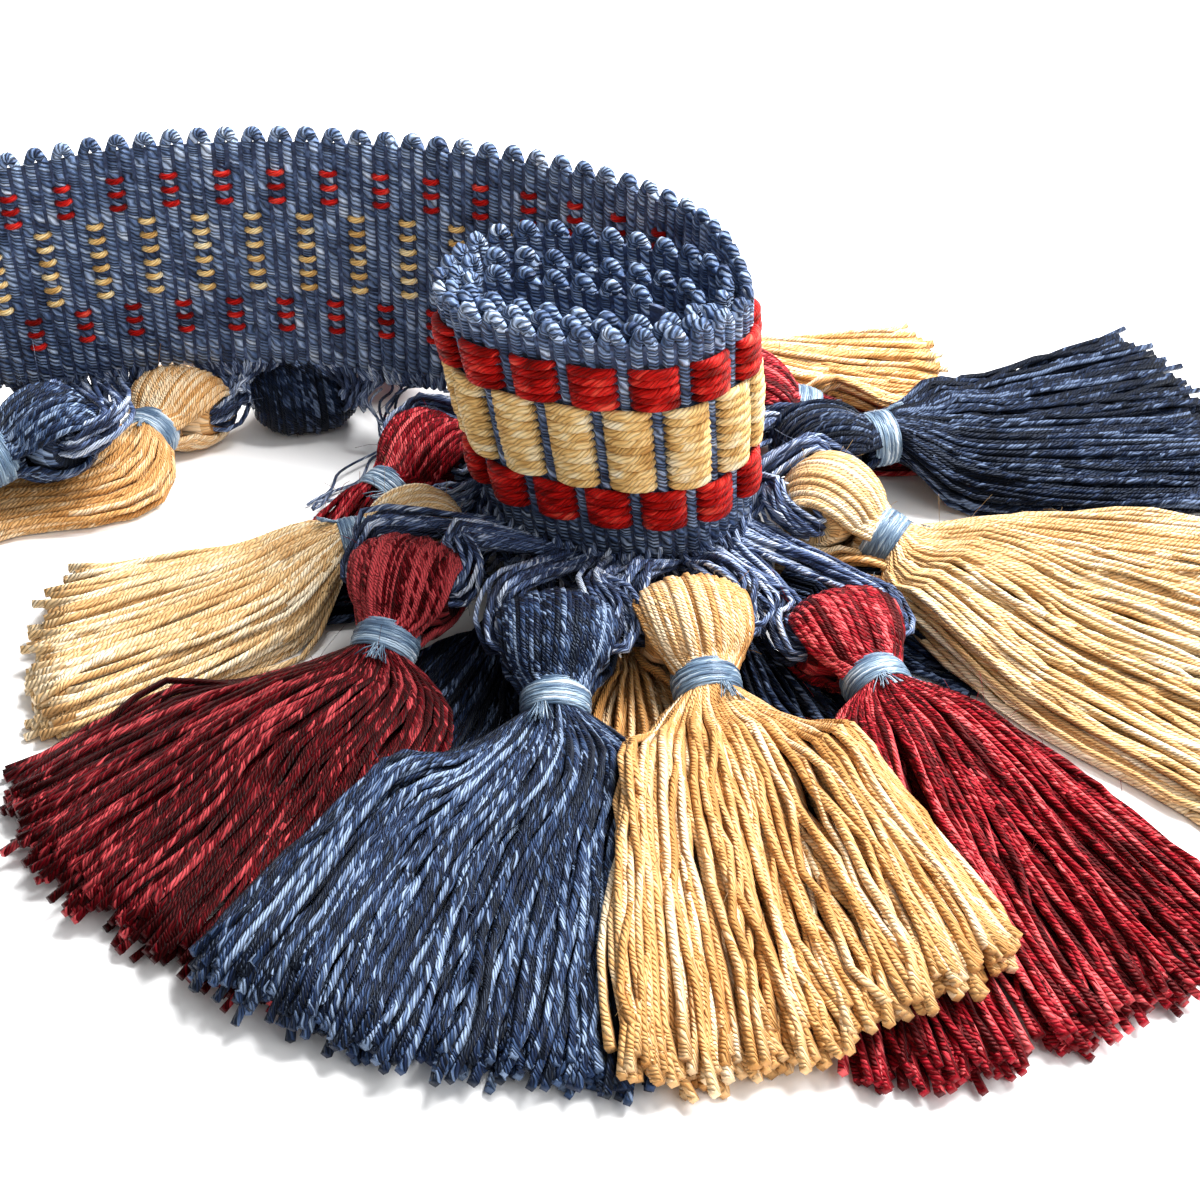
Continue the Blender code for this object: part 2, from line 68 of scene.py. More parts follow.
# Heading
HEADING_WIDTH = 35.0
RIB_PITCH = 1.92
GROUND_HALF = 0.3
GROUND_TOP = 0.955  # share of the width
RIB_RADIUS = 0.82
RIB_FINENESS = 1.15  # marks of the plies, against the yarn's usual ones
PICOT_FOOT = 0.966  # share of the width where the ribs start to lean together
PICOT_TOP = 0.975  # share of the width where the cord starts to turn over
PICOT_PINCH = 0.28
PICOT_RADIUS = 0.8
PICOT_RISE = 0.95
PICOT_FINENESS = 1.6
FINE_LENGTH = 226.0  # the free end and the outer turn
FREE_END = (
    # x, y, lean x, lean y, foot
    (-100.0, 39.5, -3.0, -1.0, 9.5),
    (-86.0, 44.0, -2.0, -0.5, 10.0),
    (-68.0, 48.5, -1.0, 1.5, 11.5),
    (-48.0, 50.5, -0.5, 3.5, 12.0),
    (-28.4, 49.0, 0.0, 5.5, 12.0),
    (-9.0, 42.0, 1.0, 4.0, 12.0),
    (5.4, 31.5, 0.8, 1.0, 12.0),
    (14.5, 19.0, 0.0, -2.0, 12.0),
)
ROLL_REACH = (
    # right, front, left, back
    (17.4, -13.0, -22.4, 24.5),
    (15.1, -10.7, -20.1, 13.4),
    (12.8, -8.4, -17.8, 5.4),
    (10.5, -6.1, -15.5, 0.4),
)
HEADING_FOOT = 12.0
ROLL_TURN = math.radians(-20.0)
ROLL_TURNS = 2.93
ROLL_SQUARENESS = 0.76
ROLL_LEAN = (-1.5, -6.0)
ROLL_TAPER = 0.11
ROLL_RIGHT = 17.0
ROWS_PER_TURN = 14

# Bands of floats: yarn, lowest and highest share of the width, yarns on the face and on the
# back, and the rib of each repeat of four that stays uncovered on the face
FLOAT_BANDS = (
    ("red", 0.135, 0.310, 5, 3, 0),
    ("gold", 0.318, 0.682, 10, 6, 2),
    ("red", 0.690, 0.865, 5, 3, 0),
)
FLOAT_RIBS = 3.05  # length of a float on the face, in ribs
BACK_FLOAT_RIBS = 1.05
BACK_FLOAT_RADIUS = 0.46

# Tassels, with turns in degrees. They hang at a distance along the heading, from legs that are
# so far apart. The skirt points to a turn, its slant makes one side longer than the other, and
# its loft says how high it stands
TASSELS = (
    # name, yarn, hung at, legs, head x, y, z, skirt to, spread, length, slant, loft, strands
    ("01", "blue", 19.5, 7.0, -77.5, 25.0, 12.5, -153, 46, 50, 0.0, 1.0, 240),
    ("02", "gold", 37.0, 16.5, -63.0, 45.0, 5.5, -160, 34, 50, 0.0, 0.56, 240),
    # 03's dark navy yarn is partly painted shade: this tassel lies in shadow under the band
    ("03", "navy", 56.5, 16.5, -45.0, 49.0, 5.5, 122, 30, 52, 0.0, 1.0, 190),
    ("04", "red", 74.0, 7.0, -32.0, 61.5, 10.5, 106, 26, 52, 0.0, 1.0, 190),
    ("05", "blue", 90.0, 7.0, -13.0, 57.0, 9.5, 90, 28, 52, 0.0, 1.0, 190),
    ("06", "gold", 106.0, 6.0, 5.5, 54.0, 6.0, 4, 38, 36, 0.08, 1.0, 240),
    ("07", "red", 120.0, 6.0, 21.5, 42.0, 9.5, -6, 10, 20, 0.0, 0.45, 90),
    ("08", "navy", 131.5, 6.0, 31.4, 26.8, 8.5, 19, 50, 52, 0.14, 1.0, 310),
    ("09", "pale gold", 142.0, 6.0, 31.0, 9.1, 10.0, -24, 64, 57, -0.04, 1.0, 350),
    ("10", "red", 154.0, 6.0, 31.0, -19.4, 7.0, -71, 46, 57, -0.08, 1.0, 330),
    ("11", "gold", 164.0, 6.0, 11.5, -21.1, 10.0, -78, 38, 57, -0.08, 1.0, 350),
    ("12", "blue", 176.0, 6.0, -5.4, -25.2, 10.5, -106, 44, 55, 0.03, 1.0, 350),
    # 13 is red yarn; its darker red is painted shade, for a skirt that lies in shadow
    ("13", "deep red", 186.0, 6.0, -24.4, -13.4, 11.0, -124, 62, 51, 0.15, 1.0, 350),
    ("14", "pale gold", 206.0, 6.0, -24.2, 3.4, 8.0, -159, 40, 40, 0.12, 1.0, 300),
    ("15", "red", 216.0, 6.0, -24.0, 24.5, 8.5, -132, 12, 14, 0.0, 0.45, 80),
)

# Strands of the inner turns that show between the heads in front, laid first
INNER_STRANDS = (
    # name, yarn, hung at, legs, start x, y, z, to, spread, length, slant, loft, strands
    ("16", "navy", 0, 0, -9.0, -5.0, 1.6, -117, 34, 38, 0.0, 0.3, 110),
    ("17", "gold", 0, 0, 4.0, -12.0, 1.6, -88, 14, 57, 0.0, 0.3, 60),
    ("18", "navy", 0, 0, 16.0, -8.0, 1.6, -72, 30, 30, 0.0, 0.3, 70),
    ("19", "navy", 0, 0, -10.0, 6.0, 1.6, 178, 60, 20, 0.0, 0.3, 70),
    ("20", "gold", 0, 0, 19.0, 7.0, 1.6, -22, 50, 17, 0.0, 0.9, 60),
    ("21", "navy", 0, 0, 20.0, 4.0, 1.6, -30, 54, 26, 0.0, 0.3, 80),
)

# Course of the threads that have come away from the heading beside one of the hangers
LOOSE_THREADS = (
    # x, y, z
    (-29.8, 43.2, 10.0),
    (-31.9, 42.4, 7.0),
    (-30.0, 38.4, 2.0),
    (-35.0, 31.0, 0.6),
    (-40.5, 23.5, 0.4),
)
LOOSE_THREADS_AT = "04"
LOOSE_THREAD_COUNT = 6
LOOSE_THREAD_RADIUS = 0.22

# Each skirt lies on those laid before it
LAID_ORDER = (
    "15", "07", "03", "04", "05", "06", "02", "01", "14", "13", "12", "08", "09", "10", "11",
)

# Tassel
HEAD_HALF_LENGTH = 7.1
HEAD_BACK = 6.0  # from its middle to the fold
HEAD_FRONT = 7.5  # the curve that meets the binding
HEAD_HALF_HEIGHT = 5.7
HEAD_STRANDS = 31
HEAD_STRAND_RADIUS = 0.48
HEAD_POINTS = 23
HEAD_WRAP = 150  # degrees each way from the fold
HEAD_FINENESS = 1.35
CORE_PLACES = (-0.86, -0.93, -0.8, -0.4, 0.0, 0.4, 0.8, 0.93, 0.86)  # shares of the half length
CORE_SIZES = (0.3, 0.5, 0.68, 0.88, 0.9, 0.88, 0.68, 0.5, 0.3)
CORE_SIDES = 20
NECK_HALF_WIDTH = 3.7
NECK_HALF_HEIGHT = 3.2
TIE_MIDDLE = 9.1
NECK_END = 11.0
STRAND_RADIUS = 0.45
GATHERED_RADIUS = 0.32  # of a strand where it leaves the binding
STRAND_POINTS = 15
STRAND_LAYERS = 5
GOLD_FULLNESS = 1.12  # the softer gold strands are a little thicker
TIP_FULLNESS = 1.35  # a cut end opens out
# Height of the upper strands over the lowest ones, along the skirt
SKIRT_SHARES = (0.0, 0.1, 0.3, 0.65, 1.0)
SKIRT_HEIGHTS = (6.5, 8.4, 7.0, 4.8, 3.0)
SKIRT_GROUPS = 16  # locks of strands that lean the same way
FLARE = 4.2  # how far the skirt swells sideways just past its binding
REST_REACH = 11.0  # length over which strands come from the neck to where they rest
CLIMB_REACH = 22.0  # length over which they climb onto what lies under them

# Binding and hanger
TIE_TURNS = 13
TIE_HALF_WIDTH = 4.2
TIE_HALF_HEIGHT = 3.75
TIE_THREAD = 0.24
TIE_WIDTH = 4.1
TIE_END_HAIRS = 14
HANGER_YARNS = 19
HANGER_YARN_RADIUS = 0.42
HANGER_BUNDLE = 2.3
HANGER_SPREAD = 0.6  # between its yarns along the heading
HANGER_FADE = 0.26  # share of its length where it gathers from the heading
HANGER_DROP = 2.3  # down from the heading before it turns to the head
HANGER_BEND = 7.6  # from the head's middle back to where it passes the head's fold
CORNER_BACK = 4.2  # from the head's middle back to where it turns into the eye
EYE_REACH = 7.6  # from the head's middle to where it goes in

# Slack yarn under the roll
SLACK_FROM = 126.0
SLACK_PITCH = 0.8
SLACK_POINTS = 14

GOLDEN_TURN = math.pi * (3 - math.sqrt(5))

# Fine fibres that stand off the yarn
FIBRE_RADIUS = 0.035
FIBRES = 90

# Grid of heights for laying skirts over each other
PILE_HALF = 170

TASSEL_YARNS = (
    # name, change of colour from ply to ply as marled yarn and painted highlight, painted shade
    # between plies, shine, painted light and shade on the heads
    ("blue", 2.2, 0.8, 0.3, 0.0),
    ("navy", 2.0, 0.7, 0.15, 0.0),
    ("gold", 1.2, 0.34, 0.3, 0.02),
    ("pale gold", 1.2, 0.34, 0.3, 0.0),
    ("red", 1.8, 0.6, 0.35, -0.01),
    # The next row is the red yarn darkened as painted shade for a skirt in shadow, with its head
    # painted lighter again
    ("deep red", 2.0, 0.65, 0.2, 0.2),
)
TASSEL_PLY_MARK = 0.72
# Painted light and shade on the heads: they are coloured lighter or darker than the skirts of the
# same yarn
HEAD_PAINTED_LIGHT = {row[0]: row[4] for row in TASSEL_YARNS}
PALETTE_STOPS = (0.34, 0.49, 0.58, 0.72)
PALETTES = {
    # dark, middle, light, pale, as screen colours; the pale stops, met by strands and plies at
    # random, are partly painted highlight
    "blue": ((5, 9, 22), (20, 31, 58), (54, 73, 107), (138, 157, 186)),
    "navy": ((4, 6, 14), (10, 16, 31), (24, 36, 60), (90, 104, 130)),
    "gold": ((184, 130, 74), (212, 160, 102), (228, 186, 136), (242, 218, 182)),
    "pale gold": ((198, 152, 100), (216, 178, 126), (230, 200, 156), (243, 226, 196)),
    "red": ((56, 3, 11), (110, 7, 20), (160, 25, 41), (228, 98, 100)),
    # The next is red darkened as painted shade
    "deep red": ((30, 1, 6), (56, 3, 10), (86, 8, 20), (172, 66, 70)),
    "weave": ((44, 58, 90), (98, 121, 162), (158, 180, 216), (218, 230, 248)),
    "float red": ((92, 4, 6), (156, 15, 16), (198, 34, 32), (228, 92, 74)),
    "float gold": ((182, 134, 70), (232, 190, 120), (244, 218, 162), (252, 242, 214)),
    "hanger": ((22, 31, 56), (62, 80, 120), (136, 154, 190), (204, 215, 234)),
    "satin": ((62, 80, 104), (96, 118, 140), (134, 154, 172), (206, 216, 226)),
}


def linear(colour):
    """A screen colour as scene linear values."""
    return tuple((value / 255) ** 2.2 for value in colour)


def smooth_rows(rows, per_span):
    """Rows on a smooth curve through the given rows, per_span for each pair."""
    p = np.array(rows, dtype=float)
    p = np.vstack([2 * p[0] - p[1], p, 2 * p[-1] - p[-2]])
    t = (np.arange(per_span) / per_span)[:, None]
    spans = []
    for a, b, c, d in zip(p[:-3], p[1:-2], p[2:-1], p[3:]):
        linear_part = c - a
        square = 2 * a - 5 * b + 4 * c - d
        cube = 3 * b - a - 3 * c + d
        spans.append(0.5 * (2 * b + linear_part * t + square * t**2 + cube * t**3))
    spans.append(p[-2:-1])
    return np.vstack(spans)


def smooth_step(x):
    x = np.clip(x, 0.0, 1.0)
    return x * x * (3 - 2 * x)


def unit(vectors):
    return vectors / np.linalg.norm(vectors, axis=-1, keepdims=True)


def signed_power(value, power):
    return np.sign(value) * np.abs(value) ** power


def roll_upper_edge(turn):
    """Plan places of the roll's upper edge, wound clockwise from its right side."""
    numbers = np.arange(len(ROLL_REACH))
    reach = [np.polyval(np.polyfit(numbers, column, 2), turn) for column in zip(*ROLL_REACH)]
    right, front, left, back = reach
    angle = -2 * np.pi * turn
    u = (right + left) / 2 + (right - left) / 2 * signed_power(np.cos(angle), ROLL_SQUARENESS)
    v = (back + front) / 2 + (back - front) / 2 * signed_power(np.sin(angle), ROLL_SQUARENESS)
    c, s = math.cos(ROLL_TURN), math.sin(ROLL_TURN)
    return np.stack([c * u - s * v, s * u + c * v], axis=-1)


class HeadingPath:
    """The heading's middle surface, read by the distance along its upper edge."""

    def __init__(self):
        turns = np.linspace(0.0, ROLL_TURNS, int(ROWS_PER_TURN * ROLL_TURNS))
        edge = roll_upper_edge(turns)
        lean = np.tile(ROLL_LEAN, (len(edge), 1))
        lean[:, 0] += ROLL_TAPER * (edge[:, 0] - ROLL_RIGHT)
        foot = np.full((len(edge), 1), HEADING_FOOT)
        self.rows = smooth_rows(np.vstack([FREE_END, np.hstack([edge, lean, foot])]), 12)
        steps = np.linalg.norm(np.diff(self.rows[:, :2], axis=0), axis=1)
        self.distance = np.concatenate([[0.0], np.cumsum(steps)])
        along = unit(np.gradient(self.rows[:, :2], axis=0))
        self.outward = np.stack([-along[:, 1], along[:, 0]], axis=-1)
        self.length = self.distance[-1]

    def at(self, distance):
        """Lower point, upper point and outward direction at distances along the heading."""
        distance = np.asarray(distance, dtype=float)
        x, y, lean_x, lean_y, foot = (
            np.interp(distance, self.distance, self.rows[:, i]) for i in range(5)
        )
        rise = np.sqrt(HEADING_WIDTH**2 - lean_x**2 - lean_y**2)
        outward = np.stack(
            [np.interp(distance, self.distance, self.outward[:, i]) for i in range(2)], axis=-1
        )
        outward = np.concatenate([unit(outward), np.zeros_like(x)[..., None]], axis=-1)
        low = np.stack([x - lean_x, y - lean_y, foot], axis=-1)
        high = np.stack([x, y, foot + rise], axis=-1)
        return low, high, outward

    def place(self, distance, share, out):
        """Points at shares of the width and distances out from the middle surface."""
        low, high, outward = self.at(distance)
        share, out = np.asarray(share)[..., None], np.asarray(out)[..., None]
        return low + (high - low) * share + outward * out


class Yarns:
    """Tubes of yarn gathered into one mesh. Its first UV map holds the place round a tube and
    the millimetres along it, the second the tube's own tone and how much lighter or darker its
    colour is painted, as painted light and shade on the tassels' heads."""

    def __init__(self):
        self.points, self.faces, self.twist, self.tone = [], [], [], []
        self.count = 0

    def add(self, lines, radii, sides, tones, fineness=1.0, lift=0.0):
        lines = np.asarray(lines, dtype=float)
        tubes, length = lines.shape[:2]
        radii = np.broadcast_to(radii, (tubes, length))
        along = unit(np.gradient(lines, axis=1))
        first = carried(along)
        second = np.cross(along, first)
        turn = 2 * np.pi * np.arange(sides) / sides
        first, second = first[:, :, None], second[:, :, None]
        ring = np.cos(turn)[:, None] * first + np.sin(turn)[:, None] * second
        self.points.append((lines[:, :, None] + radii[..., None, None] * ring).reshape(-1, 3))
        index = self.count + np.arange(tubes * length * sides).reshape(tubes, length, sides)
        self.count += index.size
        following = np.roll(index, -1, axis=2)
        quads = [index[:, :-1], following[:, :-1], following[:, 1:], index[:, 1:]]
        quads = np.stack(quads, axis=-1)
        self.faces.extend(quads.reshape(-1, 4).tolist())
        steps = np.linalg.norm(np.diff(lines, axis=1), axis=2)
        run = np.concatenate([np.zeros((tubes, 1)), np.cumsum(steps * fineness, axis=1)], axis=1)
        round_tube = np.arange(sides) / sides
        shape = (tubes, length - 1, sides)
        left = np.broadcast_to(round_tube, shape)
        right = left + 1 / sides
        near = np.broadcast_to(run[:, :-1, None], shape)
        far = np.broadcast_to(run[:, 1:, None], shape)
        corners = [(left, near), (right, near), (right, far), (left, far)]
        self.twist.append(np.stack([np.stack(c, axis=-1) for c in corners], axis=-2).reshape(-1, 2))
        tone = np.broadcast_to(np.asarray(tones, dtype=float)[:, None, None], shape)
        shade = np.stack([tone, np.full(shape, lift)], axis=-1)
        self.tone.append(np.repeat(shade[..., None, :], 4, axis=-2).reshape(-1, 2))
        for end, ring_order in ((0, slice(None, None, -1)), (-1, slice(None))):
            self.faces.extend(index[:, end, ring_order].tolist())
            at_end = np.repeat(run[:, end, None], sides, 1)
            middle = np.stack([np.full((tubes, sides), 0.25), at_end], -1)
            self.twist.append(middle.reshape(-1, 2))
            ends = np.stack([tone[:, 0, :], np.full((tubes, sides), lift)], -1)
            self.tone.append(ends.reshape(-1, 2))

    def finish(self, name, material, nodes=()):
        mesh = bpy.data.meshes.new(name)
        place = np.array([*ROLL_PLACE, 0.0])
        points = np.vstack(self.points) * MM + place
        mesh.from_pydata(points, [], self.faces)
        for layer, values in (("Twist", self.twist), ("Tone", self.tone)):
            uv = mesh.uv_layers.new(name=layer)
            uv.data.foreach_set("uv", np.vstack(values).astype(np.float32).ravel())
        mesh.polygons.foreach_set("use_smooth", np.ones(len(mesh.polygons), dtype=bool))
        return add_piece(name, mesh, material, nodes)


def carried(along):
    """A direction across each tube, carried along it without turning about it."""
    start = np.zeros_like(along[:, 0])
    start[np.arange(len(along)), np.abs(along[:, 0]).argmin(axis=1)] = 1.0
    across = np.empty_like(along)
    current = start
    for i in range(along.shape[1]):
        current = unit(current - (current * along[:, i]).sum(axis=1, keepdims=True) * along[:, i])
        across[:, i] = current
    return across


def add_piece(name, mesh, material, nodes=()):
    """Puts a mesh in the scene on the only body, in place of the nodes it stands for."""
    mesh.materials.append(material)
    piece = bpy.data.objects.new(name, mesh)
    bpy.context.scene.collection.objects.link(piece)
    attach(piece, "root")
    if nodes:
        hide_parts(*nodes)
    return piece


class Shader:
    """A material's nodes, made in order and joined up by their sockets."""

    def __init__(self, name):
        self.material = bpy.data.materials.new(name)
        self.material.use_nodes = True
        self.tree = self.material.node_tree
        self.surface = self.tree.nodes["Principled BSDF"]

    def node(self, kind, inputs=(), **settings):
        made = self.tree.nodes.new(kind)
        for key, value in settings.items():
            setattr(made, key, value)
        for key, value in dict(inputs).items():
            self.join(made.inputs[key], value)
        return made

    def join(self, socket, value):
        if isinstance(value, bpy.types.NodeSocket):
            self.tree.links.new(value, socket)
        else:
            socket.default_value = value

    def math(self, operation, *values):
        return self.node("ShaderNodeMath", enumerate(values), operation=operation).outputs[0]

    def uv(self, layer):
        source = self.node("ShaderNodeUVMap", uv_map=layer)
        parts = self.node("ShaderNodeSeparateXYZ", {0: source.outputs[0]})
        return parts.outputs[0], parts.outputs[1]

    def vector(self, x, y, z=0.0):
        return self.node("ShaderNodeCombineXYZ", {0: x, 1: y, 2: z}).outputs[0]

    def noise(self, vector, scale, detail=2.0):
        inputs = {"Vector": vector, "Scale": scale, "Detail": detail}
        return self.node("ShaderNodeTexNoise", inputs).outputs[0]

    def ramp(self, factor, stops):
        stops = list(stops)
        made = self.node("ShaderNodeValToRGB", {0: factor})
        elements = made.color_ramp.elements
        while len(elements) < len(stops):
            elements.new(0.5)
        for element, (place, colour) in zip(elements, stops):
            element.position = place
            element.color = (*colour, 1.0)
        return made.outputs[0]

    def shade(self, colour, factor):
        """The colour times a grey factor."""
        grey = self.node("ShaderNodeCombineColor", {0: factor, 1: factor, 2: factor}).outputs[0]
        made = self.node("ShaderNodeMix", data_type="RGBA", blend_type="MULTIPLY")
        self.join(made.inputs["Factor"], 1.0)
        self.join(made.inputs["A"], colour)
        self.join(made.inputs["B"], grey)
        return made.outputs["Result"]

    def bump(self, height, distance):
        inputs = {"Height": height, "Distance": distance, "Strength": 1.0}
        return self.node("ShaderNodeBump", inputs).outputs[0]


def yarn_material(
    name, palette, mark, lay, run=0.05, ply_marl_and_highlight=1.0, groove_shade=0.6, depth=0.2, rough=0.5, strands=1.0,
    sharp=0.7, shine=0.4,
):
    """Plied yarn: slanting plies with grooves between, their fibres, and colours that change
    from strand to strand, slowly along it and from ply to ply. mark is the millimetres from
    ply to ply along the yarn, and lay the number of plies round it. run says how quickly the
    colour changes along a strand, the ply colour how much from ply to ply, partly marled yarn
    and partly painted highlight on single plies, and strands how much from strand to strand.
    The colour darkens between plies as painted shade, by the given share, and depth is how
    deep the dip between plies is. The Tone map's second value paints light and shade on the
    heads."""
    s = Shader(name)
    around, along = s.uv("Twist")
    tone, lift = s.uv("Tone")
    drift_at = s.vector(s.math("MULTIPLY", along, 0.35), s.math("MULTIPLY", tone, 211.0))
    drift = s.noise(drift_at, 1.0, 1.0)
    phase = s.math("ADD", s.math("MULTIPLY", around, float(lay)), s.math("DIVIDE", along, mark))
    shift = s.math("ADD", s.math("MULTIPLY", drift, 4.0), s.math("MULTIPLY", tone, 50.0))
    phase = s.math("ADD", phase, shift)
    ridge = s.math("ABSOLUTE", s.math("SINE", s.math("MULTIPLY", phase, math.pi)))
    round_ply = s.math("POWER", ridge, sharp)
    ply = s.math("FLOOR", phase)
    strand_at = s.vector(s.math("MULTIPLY", tone, 57.0), s.math("MULTIPLY", along, run))
    by_strand = s.noise(strand_at, 1.0, 2.0)
    ply_at = s.vector(s.math("MULTIPLY", ply, 7.3), s.math("MULTIPLY", tone, 131.0), 4.0)
    by_ply = s.noise(ply_at, 1.0, 0.0)
    across_fibres = s.math("MULTIPLY", phase, 5.0)
    along_fibres = s.math("MULTIPLY", along, 0.5)
    fibre_at = s.vector(across_fibres, along_fibres, s.math("MULTIPLY", tone, 90.0))
    fibre = s.noise(fibre_at, 1.0, 2.0)
    pick = s.math("MULTIPLY", s.math("SUBTRACT", by_strand, 0.5), strands)
    # The colour change from ply to ply is partly marled yarn and partly painted highlight on single
    # plies
    pick = s.math("ADD", pick, s.math("MULTIPLY", s.math("SUBTRACT", by_ply, 0.5), 0.35 * ply_marl_and_highlight))
    pick = s.math("ADD", pick, s.math("MULTIPLY", s.math("SUBTRACT", fibre, 0.5), 0.3))
    # Painted light and shade: the heads' colour is picked lighter or darker than the skirts'
    pick = s.math("ADD", pick, s.math("ADD", lift, 0.5))
    colours = [linear(colour) for colour in PALETTES[palette]]
    pale = colours[-1]
    colour = s.ramp(pick, zip(PALETTE_STOPS, colours))
    # Painted shade: the colour darkens between the plies
    shadow = s.math("ADD", 1.0 - groove_shade, s.math("MULTIPLY", round_ply, groove_shade))
    s.join(s.surface.inputs["Base Color"], s.shade(colour, shadow))
    height = s.math("ADD", round_ply, s.math("MULTIPLY", fibre, 0.3))
    s.join(s.surface.inputs["Normal"], s.bump(height, depth * MM))
    s.surface.inputs["Roughness"].default_value = rough
    s.surface.inputs["Sheen Weight"].default_value = 0.03
    s.surface.inputs["Sheen Roughness"].default_value = 0.4
    s.surface.inputs["Specular IOR Level"].default_value = shine
    s.surface.inputs["Specular Tint"].default_value = (*(v / max(pale) for v in pale), 1.0)
    return s.material


def ground_material():
    """The crosswise yarn that holds the ribs together, seen only between them. Its colours,
    the weave's darkest and half of that, are partly painted shade between the ribs.
    """
    s = Shader("heading_ground")
    place = s.node("ShaderNodeTexCoord").outputs["Object"]
    z = s.node("ShaderNodeSeparateXYZ", {0: place}).outputs[2]
    wave = s.math("SINE", s.math("MULTIPLY", z, 2 * math.pi / (1.3 * MM)))
    grain = s.noise(place, 900.0)
    height = s.math("ADD", wave, grain)
    dark, middle = (linear(colour) for colour in PALETTES["weave"][:2])
    # Painted shade: the weave's dark colour and half of it, for the shade between the ribs
    colour = s.ramp(grain, ((0.3, tuple(0.5 * v for v in dark)), (0.55, dark), (0.8, middle)))
    s.join(s.surface.inputs["Base Color"], colour)
    s.join(s.surface.inputs["Normal"], s.bump(height, 0.1 * MM))
    s.surface.inputs["Roughness"].default_value = 0.8
    s.surface.inputs["Sheen Weight"].default_value = 0.2
    return s.material


def make_ground(path, material):
    """The thin cloth between the ribs, as a closed strip along the whole path."""
    distance = np.arange(0.8, path.length - 0.6, RIB_PITCH / 2)
    shares = np.linspace(0.01, GROUND_TOP, 8)
    loop = [(share, GROUND_HALF) for share in shares]
    loop += [(share, -GROUND_HALF) for share in shares[::-1]]
    even = np.ones(len(distance))
    rows = np.stack([path.place(distance, share * even, out * even) for share, out in loop], 1)
    count, around = rows.shape[:2]
    index = np.arange(count * around).reshape(count, around)
    following = np.roll(index, -1, axis=1)
    quads = np.stack([index[:-1], following[:-1], following[1:], index[1:]], axis=-1)
    quads = quads.reshape(-1, 4).tolist()
    ends = [index[0, ::-1].tolist(), index[-1].tolist()]
    mesh = bpy.data.meshes.new("heading_ground")
    mesh.from_pydata(rows.reshape(-1, 3) * MM + np.array([*ROLL_PLACE, 0.0]), [], quads + ends)
    return add_piece("heading_ground", mesh, material, ["heading"])


def rib_middles(path):
    """Distances of the ribs along the heading, an even number of them."""
    count = int(path.length / RIB_PITCH) // 2 * 2
    return (np.arange(count) + 0.5) * RIB_PITCH


def make_ribs(path, material, random):
    """Each pair of ribs is one cord that goes up, over in a picot and down again."""
    ribs = rib_middles(path)
    first, second = ribs[0::2], ribs[1::2]
    shares = np.append(np.linspace(0.0, PICOT_FOOT, 12), np.linspace(PICOT_FOOT, PICOT_TOP, 4)[1:])
    turn = np.linspace(0.0, np.pi, 8)[1:-1]
    middle = (first + second)[:, None] / 2
    lean = smooth_step((shares - PICOT_FOOT) / (PICOT_TOP - PICOT_FOOT))
    apart = RIB_PITCH / 2 * (1 - PICOT_PINCH * lean)
    arc = np.cos(turn) * apart[-1]
    distance = np.hstack([middle - apart, middle - arc, middle + apart[::-1]])
    bow = np.sin(turn) * PICOT_RISE / HEADING_WIDTH
    share = np.concatenate([shares, PICOT_TOP + bow, shares[::-1]])
    share = np.repeat(share[None], len(first), 0) + random.normal(0, 0.0015, (len(first), 1))
    out = random.normal(0, 0.06, (len(first), 1)) + 0.05 * np.sin(share * 60)
    radius = RIB_RADIUS + (PICOT_RADIUS - RIB_RADIUS) * smooth_step((share - PICOT_FOOT) / 0.03)
    yarns = Yarns()
    fineness = np.where(share[:1, 1:] > PICOT_FOOT, PICOT_FINENESS, RIB_FINENESS)
    lines = path.place(distance, share, out)
    yarns.add(lines, radius, 6, random.uniform(0, 1, len(first)), fineness)
    return yarns.finish("heading_ribs", material)


def make_floats(path, yarn, material, random):
    """The coloured yarns: long floats over three ribs on the face, short ones on the back."""
    ribs = rib_middles(path)
    ribs = ribs[ribs < FINE_LENGTH]
    yarns = Yarns()
    t = np.linspace(0.0, 1.0, 10)
    arch = np.sin(np.pi * t) ** 0.45
    short = np.linspace(0.0, 1.0, 6)
    short_arch = np.sin(np.pi * short) ** 0.6
    for band_yarn, low, high, face_count, back_count, bare in FLOAT_BANDS:
        if band_yarn != yarn:
            continue
        starts = ribs[bare::4]
        pitch = (high - low) / face_count
        for i in range(face_count):
            share = low + pitch * (i + 0.5)
            middle = 2 * RIB_PITCH + starts[:, None]
            distance = middle + (t - 0.5) * RIB_PITCH * FLOAT_RIBS
            wander = random.normal(0, 0.0012, (len(starts), 1))
            wander = wander + 0.002 * np.sin(np.pi * t) * random.normal(0, 1, (len(starts), 1))
            swell = 1.0 + 0.45 * np.sin(np.pi * (i + 0.5) / face_count) ** 0.7
            lift = 0.2 + arch * (swell + random.normal(0, 0.05, (len(starts), 1)))
            keep = distance[:, -1] < path.length
            radius = pitch * HEADING_WIDTH * (0.36 + 0.26 * arch)
            lines = path.place(distance, share + wander, lift)[keep]
            yarns.add(lines, radius, 6, random.uniform(0, 1, keep.sum()))
        pitch = (high - low) / back_count
        for i in range(back_count):
            share = low + pitch * (i + 0.5)
            distance = starts[:, None] + (short - 0.5) * RIB_PITCH * BACK_FLOAT_RIBS
            lift = -(0.35 + 0.85 * short_arch) * np.ones((len(starts), 1))
            lines = path.place(distance, np.full_like(distance, share), lift)
            yarns.add(lines, BACK_FLOAT_RADIUS, 6, random.uniform(0, 1, len(starts)))
    return yarns.finish("heading_floats_" + yarn, material)


